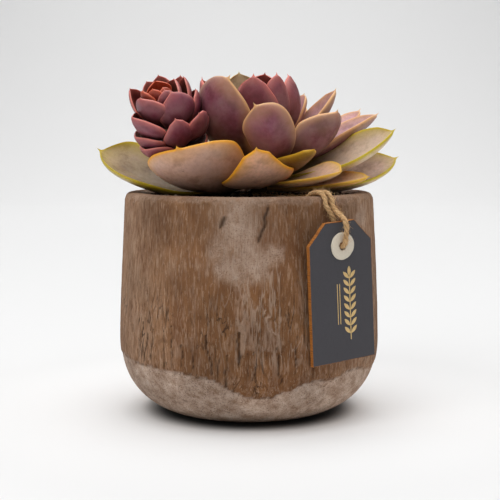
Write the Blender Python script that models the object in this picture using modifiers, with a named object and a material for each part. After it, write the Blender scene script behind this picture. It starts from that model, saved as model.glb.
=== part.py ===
"""A potted rosette succulent with one side rosette, in a round rustic pot with a swing tag on twine."""
import bpy
import math
import numpy as np
from mathutils import Matrix, Vector

MM = 0.001
NAME = "potted_succulent"

# pot, in mm
RIM = 110.0
WIDE_R, WIDE_Z = 65.0, 36.0
TOP_R, FOOT_R = 61.8, 31.0
LIP_R, WALL = 4.0, 9.5
FLOOR_T = 9.0
SOIL_Z = 106.6
GAP = 0.35

# plant, in mm, heights above the rim
STEM_AT = (6.0, 2.0)
STEM_R = 5.4
LEAF_R = 6.9
LEAF_RINGS, LEAF_SIDES = 9, 10

# azimuth, attach height, reach, tip height, width, belly, drift, cup, roll, thickness, widest at, blunt
MAIN = dict(
    front=(-92.5, 5.8, 61, 23, 32, .26, 0, .25, 14, 4.5, .52, 1.05),
    back_right_low=(47, 3, 64, 25, 28, .22, 0, .8, 0, 4.5, .7, 2.4),
    left=(180, 4, 83, 22, 40, .28, 0, .7, -28, 4.5, .78, 2.6),
    front_right_low=(-30.5, 0.9, 57, 5.4, 16, .05, 0, .6, 0, 4.5, .7, 2.4),
    back_low=(104, 3, 64, 22, 30, .22, 0, .8, 0, 4.5, .7, 2.4),
    front_left=(-128, 8, 68, 24, 46, .36, -.08, .8, 25, 4.5, .74, 3.0),
    front_right=(-47.5, 2.9, 56, 10.5, 26, .04, 0, .35, 0, 4.5, .7, 2.2),
    right_low=(6, 5, 71, 17.5, 36, .23, 0, .7, 27, 4.5, .64, 2.0),
    back_left_low=(148, 6, 72, 27, 30, .22, 0, .8, 0, 4.5, .7, 2.4),
    right=(-13, 8, 68, 31.5, 36, .22, 0, .7, 28, 4.5, .66, 2.0),
    back_right=(75, 8, 62, 35, 30, .20, 0, .8, 0, 4.5, .7, 2.4),
    front_small=(-62, 8.5, 47, 23, 20, .10, 0, .8, 0, 4.5, .5, 1.2),
    back_left=(125, 9, 60, 34, 34, .22, 0, .8, 0, 4.5, .7, 2.4),
    right_high=(16, 12, 64, 40, 24, .13, 0, .9, 4, 4.5, .68, 2.2),
    right_far=(44, 10, 77, 43, 19, .14, 0, .8, 0, 4.5, .7, 2.4),
    inner_front=(-98, 13, 44, 43, 28, .32, .38, .9, 16, 4.5, .74, 3.4),
    inner_right=(-18, 15, 38, 42, 25, .26, 0, 1.0, -16, 4.5, .7, 2.6),
    inner_front_left=(-113, 15, 36, 55, 38, .34, -.44, .9, -20, 4.5, .72, 2.8),
    upper_right=(2, 18, 36, 50, 24, .22, 0, .9, 14, 4.0, .62, 1.6),
    upper_right_far=(36, 20, 28, 50, 20, .16, 0, .9, 0, 4.0, .66, 2.2),
    upper_front=(-104, 19, 25, 56, 26, .30, 0, 1.0, 0, 4.0, .6, 1.4),
    heart_right=(-8, 24, 12, 57, 20, .46, 0, 1.0, 0, 4.0, .68, 2.4),
    heart_front=(-64, 21, 17, 59, 19, .32, 0, 1.0, 0, 4.0, .6, 1.6),
    heart_back=(75, 23, 9, 58, 26, .34, .1, .7, 0, 4.0, .72, 3.2),
    upper_back_left=(122, 21, 28, 60, 22, .26, 0, 1.0, 0, 4.0, .7, 2.4),
    mid_back_left=(142, 14, 44, 46, 20, .22, 0, .9, 0, 4.5, .7, 2.4),
    mid_back=(102, 14, 46, 44, 22, .22, 0, .9, 0, 4.5, .7, 2.4),
    mid_back_right=(62, 14.5, 46, 46, 20, .22, 0, .9, 0, 4.5, .7, 2.4),
    upper_back=(84, 18.5, 31, 53, 20, .26, 0, .9, 0, 4.0, .68, 2.2),
    upper_left=(165, 17, 31, 58, 24, .30, 0, 1.0, 0, 4.0, .7, 2.4),
)

# the side rosette stands on its own tilted axis; azimuths and heights are about that axis
SIDE_AT = (-33.6, -10.0, 129.8)
SIDE_AXIS = (-0.28, -0.43, 0.86)
SIDE = dict(
    skirt_front_left=(-122, 5, 23, 19, 17, .34, 0, .9, 0, 2.8, .66, 2.0),
    skirt_back=(113, 6, 20, -1, 20, .36, 0, .9, 0, 2.8, .66, 2.0),
    skirt_right=(36, 7, 16, 1, 16, .36, 0, .9, 0, 2.8, .66, 2.0),
    low_front_left=(-122, 9, 21, 25, 18, .34, 0, .9, 0, 2.8, .66, 2.0),
    low_front=(-71, 7, 24, 29, 21, .46, 0, 1., 0, 2.6, .62, 1.6),
    low_back_left=(142, 10, 24, 14, 16, .36, 0, .9, 0, 2.8, .66, 2.0),
    low_right=(-38, 11, 16, 22, 16, .40, .1, .9, 0, 2.6, .66, 2.4),
    mid_left=(-128, 12, 18, 32, 21, .32, 0, 1., -24, 2.8, .66, 2.0),
    mid_back=(92, 13, 26, 17, 16, .36, 0, .9, 0, 2.8, .66, 2.0),
    mid_front=(-59, 13, 14, 38, 23, .50, .1, 1., 0, 2.6, .66, 2.0),
    upper_left=(-130, 17, 12, 39, 20, .36, 0, 1., -10, 2.6, .66, 2.0),
    upper_back_left=(160, 15, 15, 38, 15, .40, 0, .9, 0, 2.6, .66, 2.0),
    upper_right=(18, 16, 17, 28, 13, .40, 0, .9, 0, 2.6, .66, 2.0),
    inner_right=(40, 23, 10, 36, 18, .40, 0, 1., 0, 2.4, .66, 2.0),
    inner_back_right=(60, 18, 19, 33, 13, .34, 0, .9, 0, 2.4, .66, 2.0),
    inner_back=(94, 20, 17, 36, 13, .36, 0, .9, 0, 2.4, .66, 2.0),
    inner_back_left=(122, 23, 12, 37, 12, .34, 0, .9, 0, 2.4, .66, 2.0),
    heart_left=(-146, 24, 8, 39, 13, .36, 0, .9, 0, 2.2, .66, 2.0),
    heart_back=(103, 25, 5, 38, 14, .40, 0, .9, 0, 2.2, .66, 2.4),
    heart_front=(-103, 25, 6, 39, 12, .36, 0, .9, 0, 2.0, .6, 1.4),
    heart_right=(-44, 26, 4, 37, 11, .36, 0, .9, 0, 2.0, .6, 1.4),
)
SLIM_W, SLIM_T = 0.94, 0.5

# swing tag, in mm
TAG_AZ, TAG_D, TAG_SIDE, TAG_Z = -59.0, 68.4, 8.4, 66.1
TAG_LEAN, TAG_TILT = 4.3, -2.0
TAG_W, TAG_H, TAG_T = 35.0, 66.0, 2.4
TAG_CUT_W, TAG_CUT_H = 9.3, 10.0
EYE_AT = (0.8, 21.5)
EYE_OUT, EYE_IN, EYE_T = 6.4, 2.0, 0.6

# twine, in mm
CORD_R = 1.1

COLOURS = dict(
    pot=(0.16, 0.10, 0.06, 1), soil=(0.03, 0.022, 0.018, 1), stem=(0.22, 0.20, 0.08, 1),
    outer_leaf=(0.38, 0.30, 0.20, 1), inner_leaf=(0.27, 0.13, 0.13, 1), bud_leaf=(0.24, 0.07, 0.07, 1),
    board=(0.065, 0.06, 0.065, 1), eyelet=(0.72, 0.65, 0.52, 1), twine=(0.48, 0.32, 0.15, 1))
ROUGH = dict(outer_leaf=0.55, inner_leaf=0.55, bud_leaf=0.5, eyelet=0.7)


def clear_scene():
    for ob in list(bpy.data.objects):
        bpy.data.objects.remove(ob, do_unlink=True)


def make_material(name):
    mat = bpy.data.materials.new(name)
    mat.use_nodes = True
    bsdf = mat.node_tree.nodes["Principled BSDF"]
    bsdf.inputs["Base Color"].default_value = COLOURS[name]
    bsdf.inputs["Roughness"].default_value = ROUGH.get(name, 0.9)
    return mat


def add_object(name, data, slot, home):
    ob = bpy.data.objects.new(name, data)
    home.objects.link(ob)
    data.materials.append(MATS[slot])
    return ob


def add_mesh(name, verts, faces, slot, home):
    mesh = bpy.data.meshes.new(name)
    mesh.from_pydata([tuple(float(c) * MM for c in v) for v in verts], [], faces)
    mesh.update()
    return add_object(name, mesh, slot, home)


def turn(name, profile, slot, home, steps, closed=False):
    """A solid of revolution about Z from an (r, z) profile in mm."""
    verts = [(r, 0.0, z) for r, z in profile]
    count = len(verts)
    mesh = bpy.data.meshes.new(name)
    edges = [(i, i + 1) for i in range(count - 1)] + ([(count - 1, 0)] if closed else [])
    mesh.from_pydata([tuple(c * MM for c in v) for v in verts], edges, [])
    ob = add_object(name, mesh, slot, home)
    mod = ob.modifiers.new("turn", "SCREW")
    mod.axis, mod.angle = "Z", math.tau
    mod.steps = mod.render_steps = steps
    mod.use_merge_vertices, mod.merge_threshold = True, 0.00005
    mod.use_normal_calculate = False
    return ob


def tube(name, points, radii, slot, home, resolution):
    curve = bpy.data.curves.new(name, "CURVE")
    curve.dimensions, curve.bevel_depth = "3D", MM
    curve.bevel_resolution, curve.use_fill_caps = resolution, True
    spline = curve.splines.new("POLY")
    spline.points.add(len(points) - 1)
    for point, at, radius in zip(spline.points, points, radii):
        point.co = (at[0] * MM, at[1] * MM, at[2] * MM, 1.0)
        point.radius = radius
    return add_object(name, curve, slot, home)


def smooth_path(knots, steps):
    """Catmull-Rom through the knots with a few steps between each two."""
    k = np.array([knots[0]] + list(knots) + [knots[-1]], float)
    path = []
    for a, b, c, d in zip(k, k[1:], k[2:], k[3:]):
        for t in np.arange(steps) / steps:
            path.append(0.5 * (2 * b + (c - a) * t + (2 * a - 5 * b + 4 * c - d) * t ** 2
                               + (3 * b - a - 3 * c + d) * t ** 3))
    return np.array(path + [k[-1]])


def unit(v):
    return v / np.linalg.norm(v)


def outline(t, wide, blunt):
    """Half width along the leaf, 0..1: grows to the widest point, then falls to a small spike."""
    u = np.clip(t / 0.95, 0, 1)
    grow = 0.22 + 0.78 * np.sin(np.clip(u / wide, 0, 1) * np.pi / 2) ** 1.3
    fall = np.maximum(1 - np.clip((u - wide) / (1 - wide), 0, 1) ** blunt, 0) ** 0.75
    spike = 0.085 * np.clip((1 - t) / 0.05, 0, 1)
    return np.hypot(np.where(u < wide, grow, fall), spike)


def leaf_shape(base, tip, up, width, belly, drift, cup, roll, thick, wide, blunt):
    """Rings of a cupped leaf along a bent spine from base to tip, with a pole at each end."""
    chord = tip - base
    length = np.linalg.norm(chord)
    chord = chord / length
    side = unit(np.cross(up, chord))
    down = -np.cross(chord, side)
    mid = (base + tip) / 2 + (down * belly + side * drift) * length
    t = (1 - (1 - np.linspace(0, 1, LEAF_RINGS)) ** 1.45)
    q = t[:, None]
    spine = (1 - q) ** 2 * base + 2 * q * (1 - q) * mid + q ** 2 * tip
    ahead = 2 * (1 - q) * (mid - base) + 2 * q * (tip - mid)
    ahead = ahead / np.linalg.norm(ahead, axis=1)[:, None]
    flat = side - (ahead @ side)[:, None] * ahead
    flat = flat / np.linalg.norm(flat, axis=1)[:, None]
    face = np.cross(ahead, flat)
    lean = (np.radians(roll) * t ** 0.5)[:, None]
    across = flat * np.cos(lean) + face * np.sin(lean)
    normal = face * np.cos(lean) - flat * np.sin(lean)
    half = (width / 2 * outline(t, wide, blunt))[:, None]
    bend = (cup * (0.5 + 0.5 * np.sin(np.clip(t / 0.75, 0, 1) * np.pi / 2)))[:, None]
    psi = np.arange(LEAF_SIDES) / LEAF_SIDES * math.tau
    s = (np.sign(np.cos(psi)) * np.abs(np.cos(psi)) ** 0.85)[None]
    k = np.sin(psi)
    body = np.interp(t, [0, .12, .5, .85, .95, 1], [.75, .9, 1, .7, .35, .12])[:, None]
    skin = thick * body * np.where(k > 0, 0.3 * k, 0.7 * k)[None] * np.minimum(1, half / 2)
    angle = bend * s
    lateral = half * np.sin(angle) / bend - np.sin(angle) * skin
    lift = half * (1 - np.cos(angle)) / bend + np.cos(angle) * skin
    rings = (spine[:, None] + across[:, None] * lateral[..., None] + normal[:, None] * lift[..., None])
    return np.concatenate([rings.reshape(-1, 3), [spine[0]], [tip + ahead[-1] * 0.5]])


def leaf_faces():
    n, m = LEAF_RINGS, LEAF_SIDES
    faces = [(i * m + j, i * m + (j + 1) % m, (i + 1) * m + (j + 1) % m, (i + 1) * m + j)
             for i in range(n - 1) for j in range(m)]
    faces += [(n * m, (j + 1) % m, j) for j in range(m)]
    last = (n - 1) * m
    return faces + [(n * m + 1, last + j, last + (j + 1) % m) for j in range(m)]


def add_leaf(name, base, tip, up, row, slot, home):
    width, belly, drift, cup, roll, thick, wide, blunt = row
    verts = leaf_shape(base, tip, up, width * SLIM_W, belly, drift, cup, roll, thick * SLIM_T, wide, blunt)
    ob = add_mesh(name, verts, leaf_faces(), slot, home)
    ob.data.shade_smooth()
    return ob


def main_leaves(home):
    up = np.array([0, 0, 1.0])
    centre = np.array([*STEM_AT, RIM])
    for name, (az, rise, reach, height, *row) in MAIN.items():
        a = math.radians(az)
        out = np.array([math.cos(a), math.sin(a), 0])
        slot = "outer_leaf" if rise < 12 else "inner_leaf"
        add_leaf("leaf_" + name, centre + out * LEAF_R + up * rise, centre + out * reach + up * height,
                 up, row, slot, home)


def side_frame():
    axis = unit(np.array(SIDE_AXIS))
    e1 = unit(np.array([1.0, 0, 0]) - axis * axis[0])
    return np.array(SIDE_AT), axis, e1, np.cross(axis, e1)


def side_leaves(home):
    centre, axis, e1, e2 = side_frame()
    for name, (az, rise, reach, height, *row) in SIDE.items():
        a = math.radians(az)
        out = e1 * math.cos(a) + e2 * math.sin(a)
        near = max(4.4 - rise * 0.1, 1.6)
        add_leaf("side_leaf_" + name, centre + axis * rise + out * near, centre + axis * height + out * reach,
                 axis, row, "bud_leaf", home)


def pot_profile():
    """From the middle of the inner floor, up the inner wall, over the lip, down outside to the foot."""
    def outer(z):
        t = (z - WIDE_Z) / (RIM - WIDE_Z)
        return WIDE_R + (TOP_R - WIDE_R) * t ** 1.35
    inner_r = outer(RIM) - WALL
    pts = [(0, FLOOR_T), (FOOT_R * 0.7, FLOOR_T), (FOOT_R, FLOOR_T + 5), (inner_r - 5, FLOOR_T + 20)]
    pts += [(inner_r, 40.0), (inner_r, RIM - 9)]
    for a in np.radians([180, 150, 120, 90]):
        pts.append((inner_r + 3 + 3 * math.cos(a), RIM - 3 + 3 * math.sin(a)))
    for a in np.radians([90, 65, 40, 15]):
        pts.append((outer(RIM - 4) - LIP_R + LIP_R * math.cos(a), RIM - LIP_R + LIP_R * math.sin(a)))
    pts += [(outer(z), z) for z in (98, 84, 70, 58, 47, WIDE_Z)]
    for a in np.radians([12, 24, 36, 48, 60, 72, 82]):
        r = FOOT_R + (WIDE_R - FOOT_R) * math.cos(a) ** (2 / 1.95)
        pts.append((r, WIDE_Z * (1 - math.sin(a) ** (2 / 1.95))))
    return pts + [(FOOT_R, 0), (0, 0)]


def pot_and_soil(home):
    turn("pot", pot_profile(), "pot", home, 64)
    inner_r = TOP_R - WALL - GAP
    profile = [(0, SOIL_Z), (25, SOIL_Z), (inner_r - 5, SOIL_Z - 0.8), (inner_r - .6, SOIL_Z - 1.6)]
    profile += [(inner_r - .6, 41), (inner_r - 6, 31), (FOOT_R - 1.5, FLOOR_T + 6.5)]
    profile += [(FOOT_R * 0.7 - 1, FLOOR_T + 1), (0, FLOOR_T + 1)]
    turn("soil", profile, "soil", home, 48)


def stems(home):
    x, y = STEM_AT
    rise = [SOIL_Z + GAP, SOIL_Z + 8, RIM + 14, RIM + 22, RIM + 28, RIM + 33, RIM + 35]
    wide = [STEM_R, STEM_R, STEM_R, STEM_R - .4, STEM_R - 1.6, STEM_R - 3, 1.2]
    tube("main_stem", [(x, y, z) for z in rise], wide, "stem", home, 2)
    centre, axis, _, _ = side_frame()
    knots = [(x - STEM_R - 1.6, y - 0.6, RIM + 13), (-14, -3, RIM + 13.5), (-26, -7, RIM + 15.5)]
    knots += [tuple(centre), tuple(centre + axis * 10), tuple(centre + axis * 28)]
    path = smooth_path(knots, 3)
    tube("side_stem", path, np.linspace(3.0, 1.1, len(path)), "stem", home, 2)


def tag_frame():
    """Middle of the tag, its outward normal, its rightward and upward directions."""
    az, lean, tilt = (math.radians(v) for v in (TAG_AZ, TAG_LEAN, TAG_TILT))
    out, right = np.array([math.cos(az), math.sin(az), 0]), np.array([-math.sin(az), math.cos(az), 0])
    up = np.array([0, 0, 1.0])
    normal = out * math.cos(tilt) + up * math.sin(tilt)
    rise = up * math.cos(tilt) - out * math.sin(tilt)
    middle = out * TAG_D + right * TAG_SIDE + up * TAG_Z
    return (middle, normal, right * math.cos(lean) + rise * math.sin(lean),
            rise * math.cos(lean) - right * math.sin(lean))


def place(ob, at):
    middle, normal, right, up = tag_frame()
    spot = middle + right * at[0] + up * at[1]
    turn_m = Matrix([list(right), list(up), list(normal)]).transposed().to_4x4()
    ob.matrix_world = Matrix.Translation(Vector(spot) * MM) @ turn_m


def tag(home, cutters):
    w, h, t = TAG_W / 2, TAG_H / 2, TAG_T / 2
    flat = [(-w, -h), (w, -h), (w, h - TAG_CUT_H), (w - TAG_CUT_W, h), (-w + TAG_CUT_W, h), (-w, h - TAG_CUT_H)]
    n = len(flat)
    verts = [(x, y, -t) for x, y in flat] + [(x, y, t) for x, y in flat]
    faces = [tuple(reversed(range(n))), tuple(range(n, 2 * n))]
    faces += [(i, (i + 1) % n, n + (i + 1) % n, n + i) for i in range(n)]
    board = add_mesh("tag_board", verts, faces, "board", home)
    place(board, (0, 0))
    bore = EYE_IN + 0.6 + GAP
    ring = [(bore * math.cos(a), bore * math.sin(a)) for a in np.arange(24) * math.tau / 24]
    cut_v = [(x, y, -5.0) for x, y in ring] + [(x, y, 5.0) for x, y in ring]
    cut_f = [tuple(reversed(range(24))), tuple(range(24, 48))]
    cut_f += [(i, (i + 1) % 24, 24 + (i + 1) % 24, 24 + i) for i in range(24)]
    cutter = add_mesh("tag_bore", cut_v, cut_f, "board", cutters)
    place(cutter, EYE_AT)
    cutter.hide_render, cutter.display_type = True, "WIRE"
    bevel = board.modifiers.new("edge", "BEVEL")
    bevel.width, bevel.segments = 0.4 * MM, 1
    hole = board.modifiers.new("bore", "BOOLEAN")
    hole.operation, hole.solver, hole.object = "DIFFERENCE", "EXACT", cutter
    z0, z1 = t + 0.3, t + 0.3 + EYE_T
    profile = [(EYE_IN, z1), (EYE_OUT - .5, z1), (EYE_OUT, z1 - .4), (EYE_OUT, z0), (EYE_IN + .6, z0)]
    profile += [(EYE_IN + .6, -z0), (EYE_OUT, -z0), (EYE_OUT, .4 - z1), (EYE_OUT - .5, -z1), (EYE_IN, -z1)]
    place(turn("tag_eyelet", profile, "eyelet", home, 28, closed=True), EYE_AT)


def twine_knots():
    """Two strands over the rim, joined through the eyelet, with both ends on the soil."""
    middle, normal, right, up = tag_frame()
    eye = middle + right * EYE_AT[0] + up * EYE_AT[1]
    rest = SOIL_Z + GAP + CORD_R

    def at(r, az, z):
        return np.array([r * math.cos(math.radians(az)), r * math.sin(math.radians(az)), z])
    x, y = STEM_AT
    def over_rim(az):
        lip = [(57.8 + 5.6 * math.cos(a), RIM - 4 + 5.6 * math.sin(a)) for a in np.radians([90, 58, 28, 0])]
        return [at(r, az, z) for r, z in [(48, rest + .5), (52.6, RIM + 1)] + lip]
    first = [(x - 4, y + 9.5, rest), (x + 5.5, y + 6.5, rest), (x + 8.3, y - 2, rest), at(24, -40, rest),
             at(40, -50, rest), *over_rim(-52.5), at(65.8, -52.4, RIM - 6.6), at(70.2, -52.8, RIM - 8.9)]
    last = [*over_rim(-56)[::-1], at(40, -56, rest), at(24, -56, rest),
            (x + 3, y - 10.5, rest), (x - 6, y - 6.5, rest), (x - 10.5, y + 1, rest)]
    bend = [(4.6, 11.6), (5.2, 7.6)]
    bend += [(4.4 * math.cos(a), 4 - 4.4 * math.sin(a)) for a in np.radians([0, 30, 60, 90, 120, 150, 180])]
    bend += [(-4.5, 7), (-5, 12)]
    through = [eye + normal * a + up * b for a, b in bend]
    return [tuple(v) for v in first + through + last]


def twine(home):
    path = smooth_path(twine_knots(), 2)
    tube("twine", path, np.full(len(path), CORD_R), "twine", home, 2)


clear_scene()
home = bpy.data.collections.new(NAME)
cutters = bpy.data.collections.new("cutters")
for coll in (home, cutters):
    bpy.context.scene.collection.children.link(coll)
MATS = {key: make_material(key) for key in COLOURS}
pot_and_soil(home)
stems(home)
main_leaves(home)
side_leaves(home)
tag(home, cutters)
twine(home)
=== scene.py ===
import bpy
import math
import numpy as np
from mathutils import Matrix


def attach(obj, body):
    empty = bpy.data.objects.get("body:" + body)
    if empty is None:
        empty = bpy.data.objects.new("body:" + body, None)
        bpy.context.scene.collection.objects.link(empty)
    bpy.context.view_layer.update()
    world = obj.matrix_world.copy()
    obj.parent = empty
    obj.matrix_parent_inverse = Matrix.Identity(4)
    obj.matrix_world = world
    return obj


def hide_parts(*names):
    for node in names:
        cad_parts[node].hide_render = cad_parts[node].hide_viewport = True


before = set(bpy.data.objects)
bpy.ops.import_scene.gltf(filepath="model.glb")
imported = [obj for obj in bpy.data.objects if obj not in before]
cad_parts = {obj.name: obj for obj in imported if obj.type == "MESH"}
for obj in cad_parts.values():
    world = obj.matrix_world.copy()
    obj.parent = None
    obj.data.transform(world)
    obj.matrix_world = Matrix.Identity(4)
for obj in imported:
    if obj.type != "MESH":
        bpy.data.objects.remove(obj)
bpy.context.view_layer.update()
scene = bpy.context.scene
scene.view_settings.view_transform = "Standard"
mm = 0.001
tau = math.tau
print("frame loaded:", len(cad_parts), "nodes")


cameraSet = dict(place=(0.0005, -0.600, 0.138), down=0.096, lens=85.7)


def addCamera():
    data = bpy.data.cameras.new("camera")
    data.lens, data.sensor_width = cameraSet["lens"], 36
    data.clip_start = 0.01
    cam = bpy.data.objects.new("camera", data)
    cam.location = cameraSet["place"]
    cam.rotation_euler = (math.pi / 2 - cameraSet["down"], 0, 0)
    scene.collection.objects.link(cam)
    scene.camera = cam


def makeMesh(name, verts, faces, mat=None, smooth=True, fields=None, uv=None):
    # one mesh from arrays; fields are one value, or one colour, for each vertex
    mesh = bpy.data.meshes.new(name)
    mesh.from_pydata((np.asarray(verts) * mm).tolist(), [], faces)
    for key, values in (fields or {}).items():
        values = np.asarray(values, dtype=np.float32)
        if values.ndim == 2:
            layer = mesh.attributes.new(key, "FLOAT_COLOR", "POINT")
            opaque = np.ones(len(values), dtype=np.float32)
            layer.data.foreach_set("color", np.column_stack([values, opaque]).ravel())
        else:
            layer = mesh.attributes.new(key, "FLOAT", "POINT")
            layer.data.foreach_set("value", values)
    if uv is not None:
        corner = np.empty(len(mesh.loops), dtype=np.int32)
        mesh.loops.foreach_get("vertex_index", corner)
        uv = np.asarray(uv, dtype=np.float32)[corner]
        mesh.uv_layers.new(name="uv").data.foreach_set("uv", uv.ravel())
    if smooth:
        mesh.polygons.foreach_set("use_smooth", np.ones(len(mesh.polygons), dtype=bool))
    mesh.update()
    if mat:
        mesh.materials.append(mat)
    piece = bpy.data.objects.new(name, mesh)
    scene.collection.objects.link(piece)
    return piece


def ringFaces(rows, sides):
    # quads between neighbouring rings, and a fan to a pole at each end
    i = np.arange(rows - 1)[:, None] * sides
    j = np.arange(sides)[None]
    k = (j + 1) % sides
    faces = np.stack([i + j, i + k, i + sides + k, i + sides + j], -1).reshape(-1, 4).tolist()
    j, k = j[0], k[0]
    last, end = (rows - 1) * sides, rows * sides
    faces += np.stack([np.full(sides, end), k, j], 1).tolist()
    faces += np.stack([np.full(sides, end + 1), last + j, last + k], 1).tolist()
    return faces


def loopFaces(count, sides):
    # quads between neighbouring rings, the last ring joined to the first
    i, j = (np.arange(count) * sides)[:, None], np.arange(sides)[None]
    nextRow, k = np.roll(i, -1, axis=0), (j + 1) % sides
    return np.stack([i + j, i + k, nextRow + k, nextRow + j], -1).reshape(-1, 4)[:, ::-1].tolist()


def unit(v):
    return v / np.linalg.norm(v, axis=-1, keepdims=True)


def lattice(u, v, seed, around, along):
    # value noise, 0..1: random heights on a lattice that repeats around u, eased between the four nearest
    table = np.random.default_rng(seed).random((along + 2, around))
    x, y = (u % 1) * around, np.clip(v, 0, 1) * along
    ix, iy = np.floor(x).astype(int), np.floor(y).astype(int)
    fx, fy = x - ix, y - iy
    fx, fy = fx * fx * (3 - 2 * fx), fy * fy * (3 - 2 * fy)
    ix, jx = ix % around, (ix + 1) % around
    low = table[iy, ix] * (1 - fx) + table[iy, jx] * fx
    high = table[iy + 1, ix] * (1 - fx) + table[iy + 1, jx] * fx
    return low * (1 - fy) + high * fy


def swell(size, *where):
    # value noise about zero, with the given size from lowest to highest
    return size * (lattice(*where) - .5)


def ease(x, low, high):
    # smooth step: 0 below low, 1 above high, a cubic between them
    t = np.clip((x - low) / (high - low), 0, 1)
    return t * t * (3 - 2 * t)


def smoothPath(knots, steps):
    # Catmull-Rom curve through the knots, with a few steps between each two
    k = np.array([knots[0]] + list(knots) + [knots[-1]], float)
    a, b, c, d = k[:-3, None], k[1:-2, None], k[2:-1, None], k[3:, None]
    t = (np.arange(steps) / steps)[None, :, None]
    path = 2 * b + (c - a) * t + (2 * a - 5 * b + 4 * c - d) * t ** 2 + (3 * b - a - 3 * c + d) * t ** 3
    return np.concatenate([path.reshape(-1, 3) / 2, k[-1:]])


def pathFrames(path):
    # forward, side and lift directions along a path, the side kept level with a fixed up where it can be
    ahead = unit(np.gradient(path, axis=0))
    up = np.tile([0.13, 0.21, 0.97], (len(path), 1))
    side = [unit(np.cross(up[0], ahead[0]))]
    for direction in ahead[1:]:
        last = side[-1] - direction * (side[-1] @ direction)
        side.append(last / np.linalg.norm(last))
    side = np.array(side)
    return ahead, side, np.cross(ahead, side)


def linear(r, g, b):
    # a colour given as 0 to 255 on a screen, turned into the renderer's linear values
    c = np.array([r, g, b], float) / 255
    return np.where(c <= 0.04045, c / 12.92, ((c + 0.055) / 1.055) ** 2.4)


class Nodes:
    # short calls for wiring a node tree
    def __init__(self, tree):
        self.tree, self.column = tree, 0

    def add(self, kind, **settings):
        node = self.tree.nodes.new(kind)
        self.column += 1
        node.location = (self.column * 40 - 1400, -(self.column % 9) * 160)
        for key, value in settings.items():
            setattr(node, key, value)
        return node

    def wire(self, source, target):
        self.tree.links.new(source, target)

    def put(self, socket, value):
        if hasattr(value, "is_linked"):
            self.wire(value, socket)
        elif value is not None:
            if hasattr(socket.default_value, "__len__") and not hasattr(value, "__len__"):
                value = [value] * len(socket.default_value)
            if hasattr(value, "__len__") and len(value) == 3 and len(socket.default_value) == 4:
                value = [*value, 1]
            socket.default_value = value

    def math(self, operation, a, b=None, clamp=False):
        node = self.add("ShaderNodeMath", operation=operation, use_clamp=clamp)
        self.put(node.inputs[0], a)
        self.put(node.inputs[1], b)
        return node.outputs[0]

    def times(self, a, b, clamp=False):
        return self.math("MULTIPLY", a, b, clamp)

    def plus(self, a, b, clamp=False):
        return self.math("ADD", a, b, clamp)

    def minus(self, a, b):
        return self.math("SUBTRACT", a, b)

    def mix(self, amount, a, b, blend="MIX"):
        # a plain triple is a colour given as 0 to 255
        a, b = (linear(*v) if isinstance(v, tuple) else v for v in (a, b))
        node = self.add("ShaderNodeMix", data_type="RGBA", blend_type=blend)
        node.clamp_factor = True
        self.put(node.inputs[0], amount)
        self.put(node.inputs[6], a)
        self.put(node.inputs[7], b)
        return node.outputs[2]

    def remap(self, value, low, high, toLow=0.0, toHigh=1.0):
        node = self.add("ShaderNodeMapRange", interpolation_type="SMOOTHSTEP")
        for socket, v in zip(node.inputs, (value, low, high, toLow, toHigh)):
            self.put(socket, v)
        return node.outputs[0]

    def coords(self, stretch=(1, 1, 1), kind="Object"):
        node = self.add("ShaderNodeTexCoord")
        scaled = self.add("ShaderNodeVectorMath", operation="MULTIPLY")
        self.wire(node.outputs[kind], scaled.inputs[0])
        scaled.inputs[1].default_value = stretch
        return scaled.outputs[0]

    def noise(self, coords, scale, detail=3.0, rough=0.55, warp=0.0):
        node = self.add("ShaderNodeTexNoise")
        self.wire(coords, node.inputs["Vector"])
        node.inputs["Scale"].default_value = scale
        node.inputs["Detail"].default_value = detail
        node.inputs["Roughness"].default_value = rough
        node.inputs["Distortion"].default_value = warp
        return node.outputs["Fac"]

    def cells(self, coords, scale):
        node = self.add("ShaderNodeTexVoronoi")
        self.wire(coords, node.inputs["Vector"])
        node.inputs["Scale"].default_value = scale
        return node.outputs["Distance"]

    def field(self, name, colour=False):
        node = self.add("ShaderNodeAttribute", attribute_name=name)
        return node.outputs["Color" if colour else "Fac"]

    def bump(self, height, distance, strength=1.0):
        node = self.add("ShaderNodeBump")
        node.inputs["Strength"].default_value = strength
        node.inputs["Distance"].default_value = distance
        self.wire(height, node.inputs["Height"])
        return node.outputs["Normal"]

    def surface(self, shader, tone, normal, rough=None):
        # wires colour, bump and, where it varies, roughness to a material's shader
        self.wire(tone, shader.inputs["Base Color"])
        if rough is not None:
            self.wire(rough, shader.inputs["Roughness"])
        self.wire(normal, shader.inputs["Normal"])


def newMaterial(name, **plain):
    mat = bpy.data.materials.new(name)
    mat.use_nodes = True
    n = Nodes(mat.node_tree)
    shader = mat.node_tree.nodes["Principled BSDF"]
    for key, value in plain.items():
        n.put(shader.inputs[key.replace("_", " ")], value)
    return mat, n, shader


def newGroup(name, inputs, outputs):
    tree = bpy.data.node_groups.new(name, "ShaderNodeTree")
    for key, kind, value in inputs:
        socket = tree.interface.new_socket(key, in_out="INPUT", socket_type=kind)
        socket.default_value = value
    for key, kind in outputs:
        tree.interface.new_socket(key, in_out="OUTPUT", socket_type=kind)
    n = Nodes(tree)
    start, end = n.add("NodeGroupInput"), n.add("NodeGroupOutput")
    return tree, n, start.outputs, end.inputs


number, colour = "NodeSocketFloat", "NodeSocketColor"


def useGroup(n, tree, **values):
    node = n.add("ShaderNodeGroup", node_tree=tree)
    for key, value in values.items():
        n.put(node.inputs[key], value)
    return node.outputs


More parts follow.
